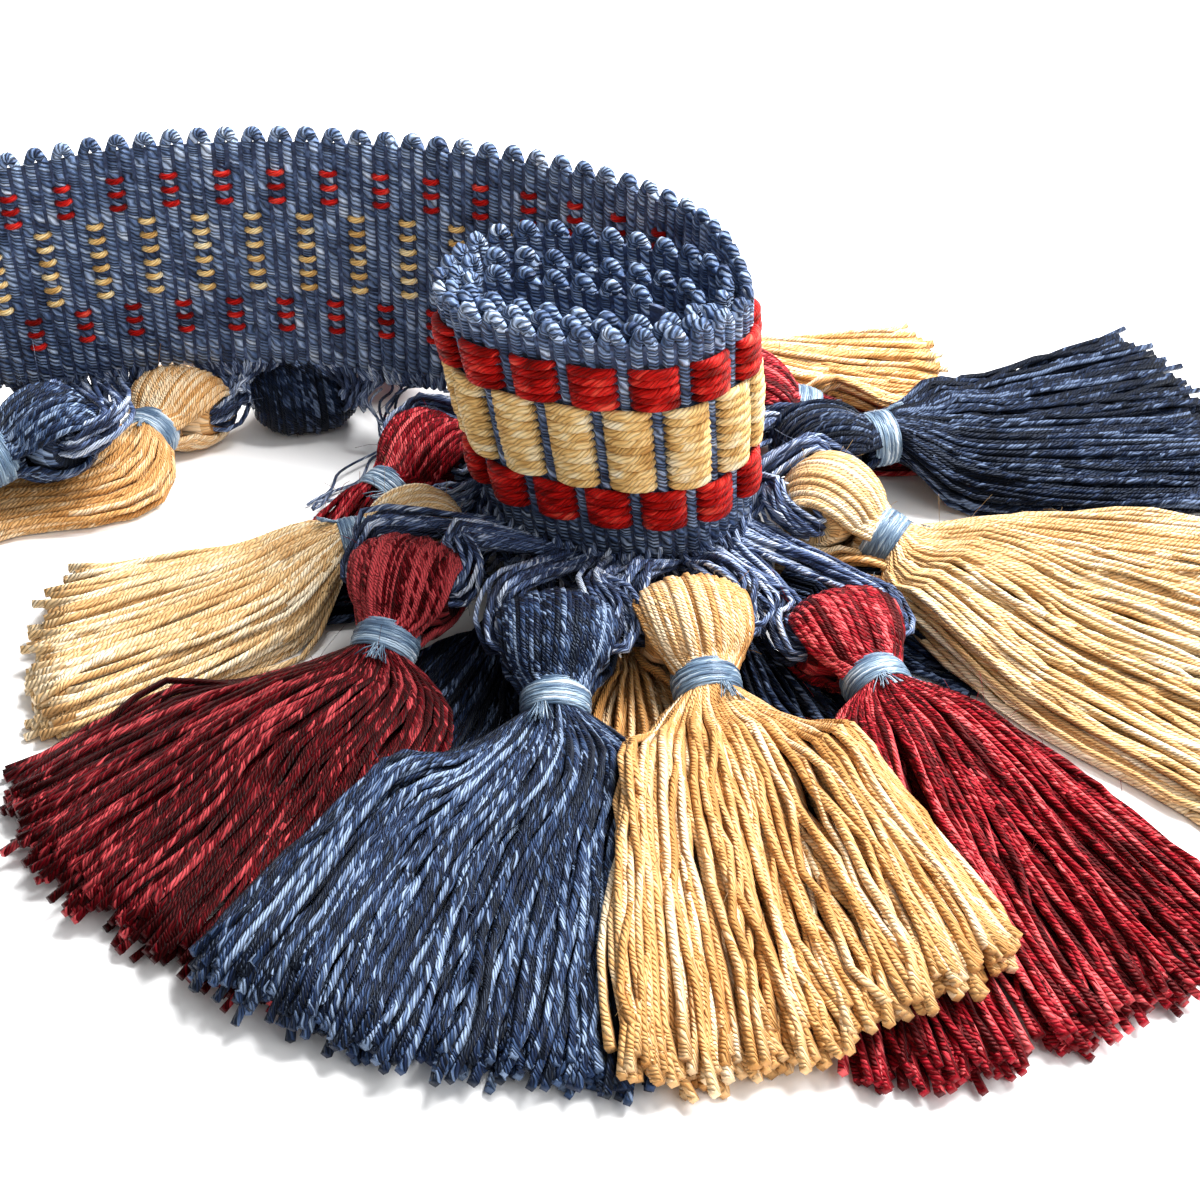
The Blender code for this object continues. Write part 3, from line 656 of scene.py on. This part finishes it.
class Pile:
    """Heights of the yarn already laid on the table, in cells of a millimetre."""

    def __init__(self):
        self.top = np.zeros((2 * PILE_HALF, 2 * PILE_HALF))
        self.smooth = self.top

    def cells(self, points):
        cells = np.round(points[..., :2]).astype(int) + PILE_HALF
        return np.clip(cells, 0, 2 * PILE_HALF - 1)

    def under(self, points):
        cells = self.cells(points)
        return self.smooth[cells[..., 0], cells[..., 1]]

    def lay(self, points, radius):
        cells = self.cells(points).reshape(-1, 2)
        heights = (points[..., 2] + radius).ravel()
        np.maximum.at(self.top, (cells[:, 0], cells[:, 1]), heights)
        self.smooth = spread_out(spread_out(widened(self.top)))


def widened(grid):
    """Each cell raised to the highest of its neighbours."""
    result = grid.copy()
    for axis in (0, 1):
        result = np.maximum(result, np.maximum(np.roll(result, 1, axis), np.roll(result, -1, axis)))
    return result


def spread_out(grid):
    """Each cell as the mean of five in a row, along both directions."""
    for axis in (0, 1):
        grid = sum(np.roll(grid, shift, axis) for shift in range(-2, 3)) / 5
    return grid


class TasselFrame:
    """A tassel's own directions, read from where its head and its binding are. A bunch of the
    inner strands has neither, and takes them from its skirt."""

    def __init__(self, row):
        self.name, self.yarn, self.hung_at, self.legs_apart, x, y, z = row[:7]
        skirt_turn, spread, self.length, self.slant, self.loft, self.strands = row[7:]
        self.head = np.array([x, y, z])
        if self.hung_at:
            low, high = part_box("tie_" + self.name)
            tie = (np.array(low) + np.array(high)) / 2 / MM - np.array([*ROLL_PLACE, 0.0]) / MM
            self.forward = unit(tie - self.head)
        else:
            turn = math.radians(skirt_turn)
            self.forward = np.array([math.cos(turn), math.sin(turn), 0.0])
        level = unit(np.array([self.forward[0], self.forward[1], 0.0]))
        self.side = np.array([-level[1], level[0], 0.0])
        self.up = np.cross(self.forward, self.side)
        self.head_turn = math.atan2(level[1], level[0])
        bend = (math.radians(skirt_turn) - self.head_turn + math.pi) % (2 * math.pi) - math.pi
        self.skirt_turn = self.head_turn + bend
        self.spread = math.radians(spread)

    def place(self, side, forward, up):
        side, forward, up = (np.asarray(v, dtype=float)[..., None] for v in (side, forward, up))
        return self.head + self.side * side + self.forward * forward + self.up * up


def skirt_places(tassel, random):
    """Where each strand is across the skirt and up it, both from 0 to 1, in jittered layers."""
    across, up = [], []
    each = tassel.strands // STRAND_LAYERS
    for layer in range(STRAND_LAYERS):
        a = (np.arange(each) + random.uniform(0, 1)) / each
        across.append(np.clip(a + random.normal(0, 0.35 / each, each), 0.0, 1.0))
        height = (layer + random.normal(0, 0.22, each)) / (STRAND_LAYERS - 1)
        up.append(np.clip(height, 0.0, 1.0))
    return np.concatenate(across), np.concatenate(up)


def skirt_lines(tassel, pile, random):
    """Lines and radii of the skirt's strands, from inside the binding to their cut ends."""
    across, up = skirt_places(tassel, random)
    a = (2 * across - 1)[:, None]
    b = up[:, None]
    count = len(across)
    length = tassel.length * (1 + tassel.slant * a) * (1 + random.normal(0, 0.025, (count, 1)))
    inside = np.array([-5.0, -2.5])
    share = np.linspace(0.0, 1.0, STRAND_POINTS - 2) ** 1.25
    s = share * length
    edge = np.sqrt(1 - 0.92 * a * a)
    neck_side = NECK_HALF_WIDTH * a
    neck_up = NECK_HALF_HEIGHT * edge * (2 * b - 1)
    in_neck = tassel.place(neck_side + 0 * inside, NECK_END + inside + 0 * a, neck_up + 0 * inside)
    root = tassel.place(neck_side, NECK_END + 0 * a, neck_up)
    stray = np.where(random.uniform(0, 1, count) < 0.04, 0.06, 0.015)
    group = random.normal(0, 0.02, SKIRT_GROUPS + 1)[(across * SKIRT_GROUPS).astype(int)]
    lean = (group + random.normal(0, 1, count) * stray)[:, None] * (1 - 0.6 * a * a)
    fan = tassel.spread / 2 * a * (1 + 0.35 * (1 - share)) + lean
    bend = (tassel.skirt_turn - tassel.head_turn) * smooth_step(share / 0.5)
    turn = tassel.head_turn + bend + fan
    flare = FLARE * a * (1 - np.exp(-s / 4.5)) * (1 - share)
    wave_turn = random.uniform(0, 2 * np.pi, (count, 1))
    wave_size = random.normal(0, 0.7, (count, 1))
    wave = wave_size * np.sin(s / random.uniform(5, 9, (count, 1)) + wave_turn)
    wave = wave + random.normal(0, 0.28, (count, 1)) * np.sin(s / 2.6 + 3 * wave_turn)
    sideways = flare + wave * smooth_step(share * 3)
    x = root[..., 0] + np.cos(turn) * s - np.sin(turn) * sideways
    y = root[..., 1] + np.sin(turn) * s + np.cos(turn) * sideways
    x[:, -1] += random.normal(0, 0.6, count)
    y[:, -1] += random.normal(0, 0.6, count)
    plan = np.stack([x, y], axis=-1)
    base = pile.under(plan) * smooth_step(s / CLIMB_REACH)
    height = np.interp(share, SKIRT_SHARES, SKIRT_HEIGHTS) * tassel.loft
    rest = base + STRAND_RADIUS + b * height * np.sqrt(1 - 0.75 * a * a)
    rest = rest + random.normal(0, 0.15, (count, 1)) * np.sin(s / 7 + wave_turn)
    rest = rest + random.normal(0, 0.3, (count, 1))
    straight = root[..., 2] + tassel.forward[2] * s
    z = straight + (rest - straight) * smooth_step(s / REST_REACH)
    z = np.maximum(z, STRAND_RADIUS)
    lines = np.concatenate([in_neck, np.stack([x, y, z], axis=-1)], axis=1)
    opening = GATHERED_RADIUS + (STRAND_RADIUS - GATHERED_RADIUS) * smooth_step(s / 12.0)
    radii = np.concatenate([np.full((count, 2), 0.3), opening], axis=1)
    fullness = GOLD_FULLNESS if tassel.yarn.endswith("gold") else 1.0
    radii = radii * fullness * (1 + random.normal(0, 0.07, (count, 1)))
    radii[:, -1] *= TIP_FULLNESS
    lines[..., 2] = np.maximum(lines[..., 2], radii)
    tones = random.uniform(0, 1, count) + int(tassel.name)
    return lines, radii, tones


def add_fibres(yarns, lines, count, random):
    """Short curved fibres that leave the given strands, standing mostly upward."""
    strand = random.integers(0, len(lines), count)
    point = random.integers(2, lines.shape[1] - 1, count)
    start = lines[strand, point]
    along = unit(lines[strand, point] - lines[strand, point - 1])
    aim = random.normal(0, 1, (count, 3)) + np.array([0, 0, 0.8])
    aim = unit(aim + along * random.normal(0, 1.2, (count, 1)))
    bend = random.normal(0, 0.5, (count, 3))
    length = random.uniform(1.0, 3.6, (count, 1))
    steps = [start + aim * length * t + bend * length * t * t for t in (0.1, 0.4, 0.7, 1.0)]
    fibres = np.stack(steps, axis=1)
    fibres[..., 2] = np.maximum(fibres[..., 2], 0.1)
    yarns.add(fibres, FIBRE_RADIUS, 3, random.uniform(0, 1, count))


def head_lines(tassel, random):
    """Lines of the strands that fold over the hanger and come back into the binding."""
    a = np.linspace(-1, 1, HEAD_STRANDS)[:, None] + random.normal(0, 0.012, (HEAD_STRANDS, 1))
    a = np.clip(a, -1, 1)
    turn = np.radians(np.linspace(-HEAD_WRAP, HEAD_WRAP, HEAD_POINTS))
    far = np.abs(turn / turn[-1])
    puff = 1 + random.normal(0, 0.025, (HEAD_STRANDS, 1))
    back_fullness = 1 - 0.44 * np.abs(a) ** 2.8
    front_fullness = 1 - 0.26 * np.abs(a) ** 3.2
    before = np.cos(turn) > 0
    reach = np.where(before, HEAD_BACK * back_fullness, HEAD_FRONT * front_fullness)
    side = a * HEAD_HALF_LENGTH * (1 - 0.26 * far**5)
    side = side + 0.25 * np.sin(turn * 2 + random.uniform(0, 6))
    forward = -reach * np.cos(turn) * puff
    neck_up = NECK_HALF_HEIGHT * np.sqrt(1 - 0.9 * a * a)
    up = HEAD_HALF_HEIGHT * np.sin(turn) * back_fullness * puff
    up = np.where(before, up, np.sign(up) * np.maximum(np.abs(up), neck_up))
    loop = tassel.place(side, forward, up)
    ends = []
    for sign in (-1, 1):
        inside = np.array([10.0, 7.9])
        flat = 0 * inside
        ends.append(tassel.place(NECK_HALF_WIDTH * a + flat, inside + 0 * a, sign * neck_up + flat))
    lines = np.concatenate([ends[0], loop, ends[1][:, ::-1]], axis=1)
    lines[..., 2] = np.maximum(lines[..., 2], HEAD_STRAND_RADIUS)
    return lines


def head_filling(tassel):
    """A plump core under the head's strands, with a mouth at each side for the hanger."""
    side = np.array(CORE_PLACES) * HEAD_HALF_LENGTH
    size = np.array(CORE_SIZES)
    turn = np.linspace(0, 2 * np.pi, CORE_SIDES + 1)[:-1]
    forward = HEAD_BACK * np.cos(turn)[None] * size[:, None]
    up = HEAD_HALF_HEIGHT * np.sin(turn)[None] * size[:, None]
    points = tassel.place(side[:, None] + 0 * forward, forward, up)
    points[..., 2] = np.maximum(points[..., 2], 0.3)
    return points


def make_tassel(tassel, pile, material, random):
    """One tassel, with all of its strands in one mesh."""
    yarns = Yarns()
    lines, radii, tones = skirt_lines(tassel, pile, random)
    yarns.add(lines, radii, 4, tones)
    pile.lay(lines[:, 2:], STRAND_RADIUS)
    loops = head_lines(tassel, random)
    tones = random.uniform(0, 1, len(loops))
    yarns.add(loops, HEAD_STRAND_RADIUS, 5, tones, HEAD_FINENESS, HEAD_PAINTED_LIGHT[tassel.yarn])
    add_core(yarns, head_filling(tassel))
    add_fibres(yarns, lines[len(lines) // 2 :, 2:], FIBRES, random)
    add_fibres(yarns, loops, FIBRES // 3, random)
    name = "tassel_yarn_" + tassel.name
    return yarns.finish(name, material, ["tassel_" + tassel.name])


def make_inner_strands(bunch, pile, material, random):
    """Strands that come out from under the roll, with nothing of their tassel's head to see."""
    yarns = Yarns()
    lines, radii, tones = skirt_lines(bunch, pile, random)
    yarns.add(lines, radii, 4, tones)
    pile.lay(lines[:, 2:], STRAND_RADIUS)
    yarns.finish("inner_strands_" + bunch.name, material)


def add_core(yarns, rings):
    """Adds rings of points, all of the same count, as one closed body."""
    count, around = rings.shape[:2]
    index = yarns.count + np.arange(count * around).reshape(count, around)
    yarns.count += index.size
    yarns.points.append(rings.reshape(-1, 3))
    following = np.roll(index, -1, axis=1)
    quads = np.stack([index[:-1], following[:-1], following[1:], index[1:]], axis=-1)
    yarns.faces.extend(quads.reshape(-1, 4).tolist())
    shape = (count - 1, around)
    turn = np.broadcast_to(np.arange(around) / around * 30, shape)
    near = np.broadcast_to(np.arange(count - 1)[:, None] / count, shape)
    far = near + 1 / count
    corners = [(near, turn), (near, turn + 30 / around), (far, turn + 30 / around), (far, turn)]
    yarns.twist.append(np.stack([np.stack(c, -1) for c in corners], -2).reshape(-1, 2))
    flat = np.stack([near, 0 * near], -1)
    yarns.tone.append(np.repeat(flat[..., None, :], 4, axis=-2).reshape(-1, 2))
    for ring in (index[0, ::-1], index[-1]):
        yarns.faces.append(ring.tolist())
        yarns.twist.append(np.zeros((around, 2)))
        yarns.tone.append(np.zeros((around, 2)))


def thread_end(tassel, random):
    """The frayed end of the thread, that comes out from under the binding onto the skirt."""
    angle = random.uniform(0.15, 0.85) * math.pi
    out = np.array([0.98, 1.02, 1.12, 1.2])
    forward = TIE_MIDDLE + TIE_WIDTH / 2 + np.array([-0.8, 0.2, 1.2, 2.2])
    hairs = []
    for _ in range(TIE_END_HAIRS):
        turn = angle + random.normal(0, 0.08) + np.linspace(0, 1, 4) * random.normal(0, 0.2)
        side = TIE_HALF_WIDTH * np.cos(turn) * out
        up = TIE_HALF_HEIGHT * np.sin(turn) * out
        hairs.append(tassel.place(side, forward + random.normal(0, 0.15, 4), up))
    return np.array(hairs)


def make_tie(tassel, material, random):
    """The binding: one satin thread wound side by side round the neck."""
    turn = np.linspace(0, 2 * np.pi * TIE_TURNS, TIE_TURNS * 20 + 1)
    share = turn / turn[-1]
    swell = 1 - 0.07 * np.abs(2 * share - 1) ** 3
    swell = swell + 0.012 * np.sin(turn * 0.37 + random.uniform(0, 6))
    forward = TIE_MIDDLE + (share - 0.5) * TIE_WIDTH + 0.12 * np.sin(turn * 1.03)
    side = TIE_HALF_WIDTH * np.cos(turn) * swell
    up = TIE_HALF_HEIGHT * np.sin(turn) * swell
    yarns = Yarns()
    thread = tassel.place(side, forward, up)
    thread[:, 2] = np.maximum(thread[:, 2], TIE_THREAD)
    yarns.add(thread[None], TIE_THREAD, 5, [random.uniform(0, 1)])
    yarns.add(thread_end(tassel, random), 0.1, 3, random.uniform(0, 1, TIE_END_HAIRS))
    return yarns.finish("binding_" + tassel.name, material, ["tie_" + tassel.name])


def hanger_legs(tassel, path):
    """Points of a leg's middle from the heading to the head's eye, for both legs."""
    ends, at = [], []
    for sign in (-1, 1):
        distance = tassel.hung_at + sign * tassel.legs_apart / 2
        ends.append(path.at(distance)[0])
        at.append(distance)
    mouths = [tassel.place(sign * EYE_REACH, 0.0, 0.0) for sign in (-1, 1)]
    straight = math.dist(ends[0][:2], mouths[0][:2]) + math.dist(ends[1][:2], mouths[1][:2])
    crossed = math.dist(ends[0][:2], mouths[1][:2]) + math.dist(ends[1][:2], mouths[0][:2])
    if crossed < straight:
        ends.reverse()
        at.reverse()
    legs = []
    for end, sign in zip(ends, (-1, 1)):
        below = end - np.array([0.0, 0.0, HANGER_DROP])
        back = (tassel.head - end) @ tassel.forward
        corner_back = min(max(back, 0.0), CORNER_BACK)
        corner = tassel.place(sign * (EYE_REACH - 0.3), -corner_back, 0.6)
        behind = tassel.place(sign * (EYE_REACH - 2.4), -HANGER_BEND, 1.2)
        if back < HANGER_BEND:
            behind = (below + corner) / 2
        mouth = tassel.place(sign * (EYE_REACH - 0.6), 0.2, 0.0)
        inner = tassel.place(sign * 3.5, 0.0, 0.0)
        legs.append([end, below, behind, corner, mouth, inner])
    return legs, at


def loose_threads(random):
    """Thin threads that have come away from the heading's lower edge and trail on the table."""
    lines = []
    for _ in range(LOOSE_THREAD_COUNT):
        scatter = random.normal(0, 1.6, (len(LOOSE_THREADS), 3)) * (1.2, 1.2, 0.5)
        points = np.array(LOOSE_THREADS) + scatter
        line = smooth_rows(points, 8)
        line[:, :2] += 0.5 * np.sin(np.arange(len(line))[:, None] * 0.7 + random.uniform(0, 6, 2))
        line[:, 2] = np.maximum(line[:, 2], LOOSE_THREAD_RADIUS)
        lines.append(line)
    return np.array(lines)


def make_hanger(tassel, path, material, random):
    """The bundle of yarns that leaves the heading, passes through the head and returns."""
    legs, at = hanger_legs(tassel, path)
    middle = smooth_rows(np.array(legs[0] + legs[1][::-1]), 3)
    count = len(middle)
    along = unit(np.gradient(middle, axis=0))[None]
    first = carried(along)[0]
    second = np.cross(along[0], first)
    share = np.linspace(0, 1, count)
    gathered = smooth_step(np.minimum(share, 1 - share) / HANGER_FADE)[:, None]
    lines = []
    for i in range(HANGER_YARNS):
        turn = GOLDEN_TURN * i + share * 4 + 0.4 * np.sin(share * 11 + random.uniform(0, 6))
        reach = HANGER_BUNDLE * math.sqrt((i + 0.5) / HANGER_YARNS)
        reach = reach * (1 + 0.35 * np.sin(share * 14 + random.uniform(0, 6)))
        reach = reach * (1 - 0.45 * smooth_step(1 - np.abs(share - 0.5) / 0.2))
        offset = first * (np.cos(turn) * reach)[:, None] + second * (np.sin(turn) * reach)[:, None]
        line = middle + offset * gathered
        for end, distance in ((0, at[0]), (-1, at[1])):
            rib = distance + (i - (HANGER_YARNS - 1) / 2) * HANGER_SPREAD
            shift = path.at(rib)[0] + np.array([0, 0, 0.6]) - middle[end]
            from_end = share if end == 0 else 1 - share
            fade = (1 - smooth_step(from_end / HANGER_FADE))[:, None]
            line = line + shift * fade
        line = line + random.normal(0, 0.12, (count, 3)) * gathered
        lines.append(line)
    lines = np.array(lines)
    lines[..., 2] = np.maximum(lines[..., 2], HANGER_YARN_RADIUS)
    yarns = Yarns()
    yarns.add(lines, HANGER_YARN_RADIUS, 4, random.uniform(0, 1, len(lines)))
    if tassel.name == LOOSE_THREADS_AT:
        loose = loose_threads(random)
        yarns.add(loose, LOOSE_THREAD_RADIUS, 4, random.uniform(0, 1, len(loose)))
    add_fibres(yarns, lines, FIBRES // 2, random)
    name = "hanger_yarn_" + tassel.name
    return yarns.finish(name, material, ["hanger_" + tassel.name])


def make_slack(path, material, random):
    """The loops of the turns inside the roll, and slack yarn of the outer one, hanging from the
    heading's lower edge down to the table."""
    lines = []
    share = np.linspace(0.0, 1.0, SLACK_POINTS)
    down = np.sin(np.pi * share) ** 0.7
    for start in np.arange(SLACK_FROM, path.length - 10.0, SLACK_PITCH):
        start = start + random.uniform(-0.4, 0.4)
        distance = start + random.uniform(3.0, 9.0) * share
        outer = start < FINE_LENGTH
        out = random.uniform(-2.0, 4.6) if outer else random.uniform(-2.2, 2.2)
        low, _, outward = path.at(distance)
        depth = random.uniform(5.0, HEADING_FOOT - 1.0)
        line = low + outward * (out * down)[:, None]
        line[:, 2] += 1.0 - depth * down
        line += random.normal(0, 0.25, line.shape)
        line[:, 2] = np.maximum(line[:, 2], HANGER_YARN_RADIUS)
        lines.append(line)
    yarns = Yarns()
    yarns.add(lines, HANGER_YARN_RADIUS, 4, random.uniform(0, 1, len(lines)))
    add_fibres(yarns, np.array(lines), 3 * FIBRES, random)
    return yarns.finish("slack_yarn", material)


def floor_material():
    """A plain pale surface."""
    s = Shader("floor")
    grain = s.noise(s.node("ShaderNodeTexCoord").outputs["Object"], 60.0)
    stops = [(place, (grey, grey, grey)) for place, grey in enumerate(FLOOR_GREYS)]
    s.join(s.surface.inputs["Base Color"], s.ramp(grain, stops))
    s.surface.inputs["Roughness"].default_value = 0.7
    return s.material


def make_floor():
    mesh = bpy.data.meshes.new("floor")
    reach = FLOOR_REACH
    corners = [(-reach, -reach, 0), (reach, -reach, 0), (reach, reach, 0), (-reach, reach, 0)]
    mesh.from_pydata(corners, [], [(0, 1, 2, 3)])
    mesh.materials.append(floor_material())
    floor = bpy.data.objects.new("floor", mesh)
    bpy.context.scene.collection.objects.link(floor)


def make_camera():
    data = bpy.data.cameras.new("camera")
    data.lens = LENS
    data.sensor_width = SENSOR
    data.clip_start = 0.01
    camera = bpy.data.objects.new("camera", data)
    camera.location = (ROLL_PLACE[0] + VIEW_BACK[0], ROLL_PLACE[1] + VIEW_BACK[1], VIEW_BACK[2])
    camera.rotation_euler = (math.atan2(-VIEW_BACK[1], VIEW_BACK[2]), 0.0, 0.0)
    bpy.context.scene.collection.objects.link(camera)
    bpy.context.scene.camera = camera


def make_light(name, place, size, power):
    """A square lamp that faces the roll."""
    data = bpy.data.lights.new(name, "AREA")
    data.size = size
    data.energy = power
    light = bpy.data.objects.new(name, data)
    light.location = place
    aim = np.array(LIGHT_TARGET) - np.array(place)
    light.rotation_euler = (
        math.atan2(math.hypot(aim[0], aim[1]), -aim[2]),
        0.0,
        math.atan2(aim[1], aim[0]) - math.pi / 2,
    )
    bpy.context.scene.collection.objects.link(light)


def make_world():
    world = bpy.data.worlds.new("studio")
    world.use_nodes = True
    background = world.node_tree.nodes["Background"]
    background.inputs[0].default_value = (1.0, 1.0, 1.0, 1.0)
    background.inputs[1].default_value = WORLD_LIGHT
    bpy.context.scene.world = world


def main():
    bpy.context.scene.view_settings.view_transform = "Standard"
    make_camera()
    make_world()
    make_floor()
    for light in LIGHTS:
        make_light(*light)
    random = np.random.default_rng(7)
    path = HeadingPath()
    ground = make_ground(path, ground_material())
    weave = yarn_material(
        "rib_yarn", "weave", 0.76, 3, run=0.15, ply_marl_and_highlight=1.4, groove_shade=0.85, depth=0.42, strands=0.4,
        sharp=1.0,
    )
    ribs = make_ribs(path, weave, random)
    for yarn in ("red", "gold"):
        material = yarn_material(
            "float_" + yarn, "float " + yarn, 0.75, 6, run=0.25, ply_marl_and_highlight=0.8, groove_shade=0.38, depth=0.12,
            strands=0.75,
        )
        make_floats(path, yarn, material, random)
    yarns = {}
    for name, ply_marl_and_highlight, groove_shade, shine, _ in TASSEL_YARNS:
        yarns[name] = yarn_material(
            name.replace(" ", "_") + "_yarn", name, TASSEL_PLY_MARK, 5, run=0.03, ply_marl_and_highlight=ply_marl_and_highlight,
            groove_shade=groove_shade, depth=0.15, strands=1.3, shine=shine,
        )
    hanger = yarn_material(
        "hanger_yarn", "hanger", TASSEL_PLY_MARK, 5, run=0.06, ply_marl_and_highlight=1.8, groove_shade=0.6, depth=0.18,
        strands=1.2,
    )
    satin = yarn_material("tie_thread", "satin", 3.0, 3, run=0.1, groove_shade=0.2, depth=0.05, rough=0.3)
    make_slack(path, hanger, random)
    pile = Pile()
    random = np.random.default_rng(3)
    for row in INNER_STRANDS:
        make_inner_strands(TasselFrame(row), pile, yarns[row[1]], random)
    rows = {row[0]: row for row in TASSELS}
    for name in LAID_ORDER:
        random = np.random.default_rng(int(name))
        tassel = TasselFrame(rows[name])
        make_tassel(tassel, pile, yarns[tassel.yarn], random)
        make_tie(tassel, satin, random)
        make_hanger(tassel, path, hanger, random)


main()
